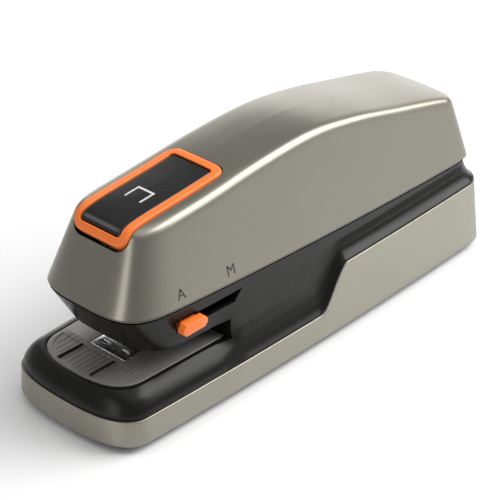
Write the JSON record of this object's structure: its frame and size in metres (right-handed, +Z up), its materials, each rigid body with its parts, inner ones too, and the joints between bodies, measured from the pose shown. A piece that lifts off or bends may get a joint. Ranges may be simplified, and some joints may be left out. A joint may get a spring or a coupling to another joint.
{
  "type": "electric stapler",
  "caption": "Desktop electric stapler: drafted metallic cover with a ringed manual button over a dark body, open paper throat, anvil deck, sliding staple drawer and a geared cam drive.",
  "frame": {"origin": "on the desk plane, under the middle of the base", "axes": "+Z up, -Y towards the nose where paper goes in, +X towards the side with the mode slider"},
  "size_m": [0.0654, 0.21, 0.0837],
  "materials": {
    "silver_paint": "satin metallic",
    "charcoal": "satin",
    "black": "satin",
    "orange": "satin",
    "steel": "bright",
    "dark_steel": "dull",
    "brass": "bright",
    "nylon": "satin",
    "rubber": "matte",
    "board_green": "semi-gloss"
  },
  "bodies": {
    "housing": {"anvil_plate": "steel", "base_screw_1": "dark_steel", "base_screw_2": "dark_steel", "base_screw_3": "dark_steel", "base_screw_4": "dark_steel", "base_trim": "silver_paint", "body_shell": "charcoal", "bottom_plate": "black", "button_pin": "steel", "button_spring": "steel", "button_switch": "black", "capacitor": "black", "chassis_left": "dark_steel", "chassis_right": "dark_steel", "circuit_board": "board_green", "cover_gasket": "charcoal", "deck_plate": "dark_steel", "foot_1": "rubber", "foot_2": "rubber", "foot_3": "rubber", "foot_4": "rubber", "head_pin": "steel", "head_spring": "steel", "home_switch": "black", "idler_shaft": "steel", "lever_pin": "steel", "mode_switch": "black", "motor_can": "steel", "motor_end_cap": "black", "paper_switch": "black", "power_jack": "black", "sensor_pin": "steel", "spacer_front": "steel", "spacer_rear": "steel", "switch_bracket": "dark_steel", "top_cover": "silver_paint"},
    "button": {"button_ring": "orange", "button_cap": "black"},
    "head": {"head_frame": "dark_steel", "blade_guide": "steel"},
    "drawer": {"magazine_front": "charcoal", "magazine_channel": "dark_steel", "magazine_core": "steel", "staple_strip": "steel", "pusher_spring": "steel"},
    "pusher": {"staple_pusher": "orange"},
    "blade": {"driver_blade": "steel"},
    "lever": {"drive_lever": "steel"},
    "cam": {"cam_shaft": "steel", "cam_gear": "nylon"},
    "idler": {"idler_gear": "nylon"},
    "pinion": {"motor_pinion": "brass", "motor_shaft": "steel"},
    "slider": {"mode_slider": "orange"},
    "sensor": {"sensor_lever": "black"}
  },
  "joints": [
    {"name": "button_press", "type": "hinge", "parent": "housing", "child": "button", "pos_m": [0, -0.038, 0.0755], "axis": [1, 0, 0], "range_deg": [0, 1.8], "stiffness_Nm_per_rad": 2.2, "springref_deg": -1.15, "deforming": ["button_spring"]},
    {"name": "head_swing", "type": "hinge", "parent": "housing", "child": "head", "pos_m": [0, 0.018, 0.037], "axis": [1, 0, 0], "range_deg": [0, 3.9], "deforming": ["head_spring"]},
    {"name": "drawer_slide", "type": "slide", "parent": "head", "child": "drawer", "axis": [0, 1, 0], "range_m": [-0.07, 0]},
    {"name": "pusher_slide", "type": "slide", "parent": "drawer", "child": "pusher", "axis": [0, 1, 0], "range_m": [0, 0.024], "stiffness_N_per_m": 60, "springref_m": -0.01, "deforming": ["pusher_spring"]},
    {"name": "blade_slide", "type": "slide", "parent": "head", "child": "blade", "axis": [0, 0, -1], "range_m": [0, 0.0093]},
    {"name": "lever_swing", "type": "hinge", "parent": "housing", "child": "lever", "pos_m": [0, 0.014, 0.058], "axis": [1, 0, 0], "range_deg": [0, 9.81]},
    {"name": "cam_turn", "type": "hinge", "parent": "housing", "child": "cam", "pos_m": [0, 0.038, 0.041], "axis": [1, 0, 0], "range_deg": [0, 180]},
    {"name": "idler_turn", "type": "hinge", "parent": "housing", "child": "idler", "pos_m": [0, 0.06129, 0.03519], "axis": [1, 0, 0], "range_deg": [-540, 0]},
    {"name": "pinion_turn", "type": "hinge", "parent": "housing", "child": "pinion", "pos_m": [0, 0.08102, 0.04238], "axis": [1, 0, 0], "range_deg": [0, 1350]},
    {"name": "mode_slide", "type": "slide", "parent": "housing", "child": "slider", "axis": [0, 1, 0], "range_m": [0, 0.016]},
    {"name": "sensor_swing", "type": "hinge", "parent": "housing", "child": "sensor", "pos_m": [0.015, -0.047, 0.0355], "axis": [1, 0, 0], "range_deg": [0, 25], "stiffness_Nm_per_rad": 0.001, "springref_deg": -17.19}
  ],
  "couplings": [
    {"joint": "lever_swing", "follows": "cam_turn", "ratio": 0.054518},
    {"joint": "head_swing", "follows": "cam_turn", "ratio": 0.021666},
    {"joint": "blade_slide", "follows": "cam_turn", "m_per_rad": 0.00296},
    {"joint": "idler_turn", "follows": "cam_turn", "ratio": -3},
    {"joint": "pinion_turn", "follows": "cam_turn", "ratio": 7.5}
  ]
}
